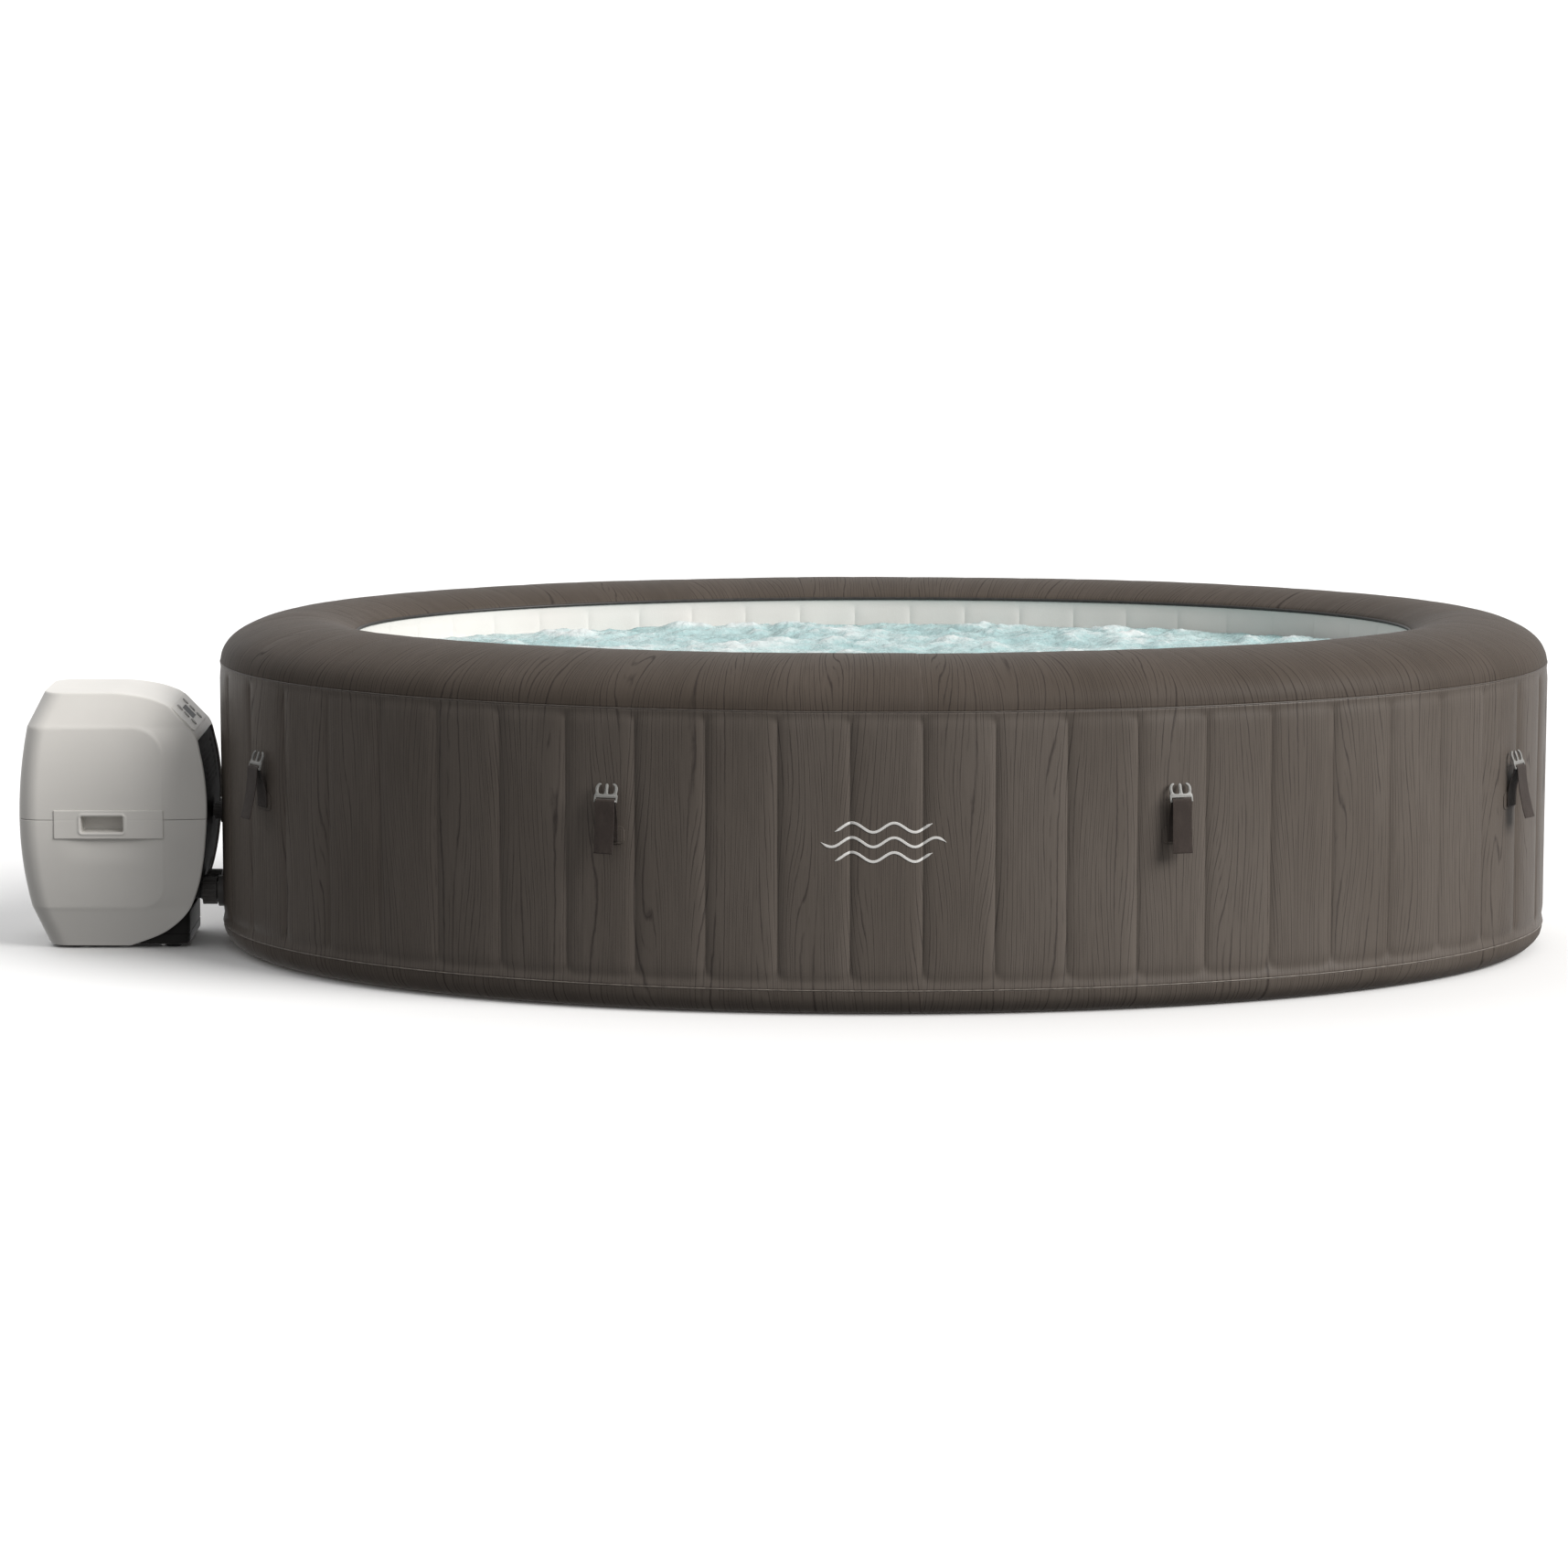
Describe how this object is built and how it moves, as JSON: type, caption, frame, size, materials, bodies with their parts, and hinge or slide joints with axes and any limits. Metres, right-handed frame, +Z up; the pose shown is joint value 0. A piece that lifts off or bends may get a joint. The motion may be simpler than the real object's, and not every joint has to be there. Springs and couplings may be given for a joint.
{
  "type": "inflatable hot tub",
  "caption": "Oval inflatable hot tub with wood-print welded walls, a padded rim, lid straps with buckles, and a floor-standing pump and heater unit piped to one end.",
  "frame": {"origin": "centre of the tub's underside, on the floor", "axes": "+X along the tub's length away from the pump unit, +Y across it, +Z up"},
  "size_m": [3.1, 1.823, 0.671],
  "materials": {
    "wood_print_vinyl": "satin",
    "cream_vinyl": "satin",
    "air_ring_vinyl": "satin",
    "anchor_patch": "matte",
    "webbing": "matte",
    "buckle_plastic": "satin",
    "casing_light_grey": "satin",
    "dark_grey_plastic": "satin",
    "fitting_plastic": "satin",
    "white_plastic": "satin",
    "filter_paper": "matte",
    "foot_rubber": "matte",
    "display_lens": "gloss",
    "button_rubber": "matte",
    "motor_plastic": "satin",
    "stainless_steel": "satin",
    "circuit_board": "satin",
    "hose_rubber": "matte"
  },
  "bodies": {
    "spa": {"outer_wall": "wood_print_vinyl", "inner_wall": "cream_vinyl", "top_rim": "wood_print_vinyl", "base_skirt": "wood_print_vinyl", "tub_floor": "cream_vinyl", "air_ring": "air_ring_vinyl", "wall_beams": "cream_vinyl", "air_valve_body": "fitting_plastic", "drain_valve_body": "fitting_plastic", "inlet_wall_fitting": "fitting_plastic", "outlet_wall_fitting": "fitting_plastic", "air_wall_fitting": "fitting_plastic", "filter_cartridge": "filter_paper", "outlet_grate": "white_plastic", "strap_anchors": "anchor_patch", "strap_1": "webbing", "strap_2": "webbing", "strap_3": "webbing", "strap_4": "webbing", "strap_5": "webbing", "strap_6": "webbing", "strap_7": "webbing", "strap_8": "webbing", "upper_casing": "casing_light_grey", "lower_casing": "casing_light_grey", "port_panel": "dark_grey_plastic", "base_tray": "dark_grey_plastic", "rubber_feet": "foot_rubber", "handle_grips": "casing_light_grey", "control_panel": "casing_light_grey", "display_window": "display_lens", "circulation_pump_body": "motor_plastic", "heater_tube": "stainless_steel", "blower_housing": "motor_plastic", "control_board": "circuit_board", "internal_hoses": "hose_rubber", "cable_gland": "dark_grey_plastic", "casing_screws": "stainless_steel"},
    "filter_cover": {"filter_cover": "white_plastic"},
    "air_valve_cap": {"air_valve_cap": "fitting_plastic"},
    "drain_valve_cap": {"drain_valve_cap": "fitting_plastic"},
    "coupling_nut_inlet": {"coupling_nut_inlet": "fitting_plastic"},
    "coupling_nut_outlet": {"coupling_nut_outlet": "fitting_plastic"},
    "coupling_nut_air": {"coupling_nut_air": "fitting_plastic"},
    "pump_impeller": {"pump_impeller": "motor_plastic"},
    "blower_fan": {"blower_fan": "motor_plastic"},
    "buckle_1": {"buckle_1": "buckle_plastic"},
    "buckle_2": {"buckle_2": "buckle_plastic"},
    "buckle_3": {"buckle_3": "buckle_plastic"},
    "buckle_4": {"buckle_4": "buckle_plastic"},
    "buckle_5": {"buckle_5": "buckle_plastic"},
    "buckle_6": {"buckle_6": "buckle_plastic"},
    "buckle_7": {"buckle_7": "buckle_plastic"},
    "buckle_8": {"buckle_8": "buckle_plastic"},
    "button_power": {"button_power": "button_rubber"},
    "button_heat": {"button_heat": "button_rubber"},
    "button_filter": {"button_filter": "button_rubber"},
    "button_bubbles": {"button_bubbles": "button_rubber"},
    "button_up": {"button_up": "button_rubber"},
    "button_down": {"button_down": "button_rubber"}
  },
  "joints": [
    {"name": "buckle_1_pivot", "type": "hinge", "parent": "spa", "child": "buckle_1", "pos_m": [1.24992, 0.37717, 0.4045], "axis": [-0.5554, 0.8316, 0], "range_deg": [-8, 130]},
    {"name": "buckle_2_pivot", "type": "hinge", "parent": "spa", "child": "buckle_2", "pos_m": [0.54388, 0.84456, 0.4045], "axis": [-0.9605, 0.2784, 0], "range_deg": [-8, 130]},
    {"name": "buckle_3_pivot", "type": "hinge", "parent": "spa", "child": "buckle_3", "pos_m": [-0.54388, 0.84456, 0.4045], "axis": [-0.9605, -0.2784, 0], "range_deg": [-8, 130]},
    {"name": "buckle_4_pivot", "type": "hinge", "parent": "spa", "child": "buckle_4", "pos_m": [-1.24992, 0.37717, 0.4045], "axis": [-0.5554, -0.8316, 0], "range_deg": [-8, 130]},
    {"name": "buckle_5_pivot", "type": "hinge", "parent": "spa", "child": "buckle_5", "pos_m": [-1.24992, -0.37717, 0.4045], "axis": [0.5554, -0.8316, 0], "range_deg": [-8, 130]},
    {"name": "buckle_6_pivot", "type": "hinge", "parent": "spa", "child": "buckle_6", "pos_m": [-0.54388, -0.84456, 0.4045], "axis": [0.9605, -0.2784, 0], "range_deg": [-8, 130]},
    {"name": "buckle_7_pivot", "type": "hinge", "parent": "spa", "child": "buckle_7", "pos_m": [0.54388, -0.84456, 0.4045], "axis": [0.9605, 0.2784, 0], "range_deg": [-8, 130]},
    {"name": "buckle_8_pivot", "type": "hinge", "parent": "spa", "child": "buckle_8", "pos_m": [1.24992, -0.37717, 0.4045], "axis": [0.5554, 0.8316, 0], "range_deg": [-8, 130]},
    {"name": "button_power_press", "type": "slide", "parent": "spa", "child": "button_power", "axis": [-0.7237, 0, -0.6902], "range_m": [0, 0.001], "stiffness_N_per_m": 600, "springref_m": -0.0005},
    {"name": "button_heat_press", "type": "slide", "parent": "spa", "child": "button_heat", "axis": [-0.7237, 0, -0.6902], "range_m": [0, 0.001], "stiffness_N_per_m": 600, "springref_m": -0.0005},
    {"name": "button_filter_press", "type": "slide", "parent": "spa", "child": "button_filter", "axis": [-0.7237, 0, -0.6902], "range_m": [0, 0.001], "stiffness_N_per_m": 600, "springref_m": -0.0005},
    {"name": "button_bubbles_press", "type": "slide", "parent": "spa", "child": "button_bubbles", "axis": [-0.7237, 0, -0.6902], "range_m": [0, 0.001], "stiffness_N_per_m": 600, "springref_m": -0.0005},
    {"name": "button_up_press", "type": "slide", "parent": "spa", "child": "button_up", "axis": [-0.7237, 0, -0.6902], "range_m": [0, 0.001], "stiffness_N_per_m": 600, "springref_m": -0.0005},
    {"name": "button_down_press", "type": "slide", "parent": "spa", "child": "button_down", "axis": [-0.7237, 0, -0.6902], "range_m": [0, 0.001], "stiffness_N_per_m": 600, "springref_m": -0.0005},
    {"name": "filter_cover_turn", "type": "hinge", "parent": "spa", "child": "filter_cover", "pos_m": [-1, -0.053, 0.108], "axis": [1, 0, 0], "range_deg": [0, 45]},
    {"name": "coupling_nut_inlet_turn", "type": "hinge", "parent": "spa", "child": "coupling_nut_inlet", "pos_m": [-1.374, -0.053, 0.108], "axis": [1, 0, 0], "range_deg": [0, 300]},
    {"name": "coupling_nut_outlet_turn", "type": "hinge", "parent": "spa", "child": "coupling_nut_outlet", "pos_m": [-1.374, 0.053, 0.108], "axis": [1, 0, 0], "range_deg": [0, 300]},
    {"name": "coupling_nut_air_turn", "type": "hinge", "parent": "spa", "child": "coupling_nut_air", "pos_m": [-1.361, 0, 0.265], "axis": [1, 0, 0], "range_deg": [0, 300]},
    {"name": "pump_impeller_spin", "type": "hinge", "parent": "spa", "child": "pump_impeller", "pos_m": [-1.567, -0.053, 0.108], "axis": [1, 0, 0], "continuous": true},
    {"name": "blower_fan_spin", "type": "hinge", "parent": "spa", "child": "blower_fan", "pos_m": [-1.59, 0, 0.39], "axis": [0, 1, 0], "continuous": true},
    {"name": "air_valve_cap_turn", "type": "hinge", "parent": "spa", "child": "air_valve_cap", "pos_m": [-1.32208, 0.22228, 0.2], "axis": [-0.9366, 0.3503, 0], "range_deg": [0, 300]},
    {"name": "drain_valve_cap_turn", "type": "hinge", "parent": "spa", "child": "drain_valve_cap", "pos_m": [0, 0.914, 0.088], "axis": [0, 1, 0], "range_deg": [0, 300]}
  ]
}
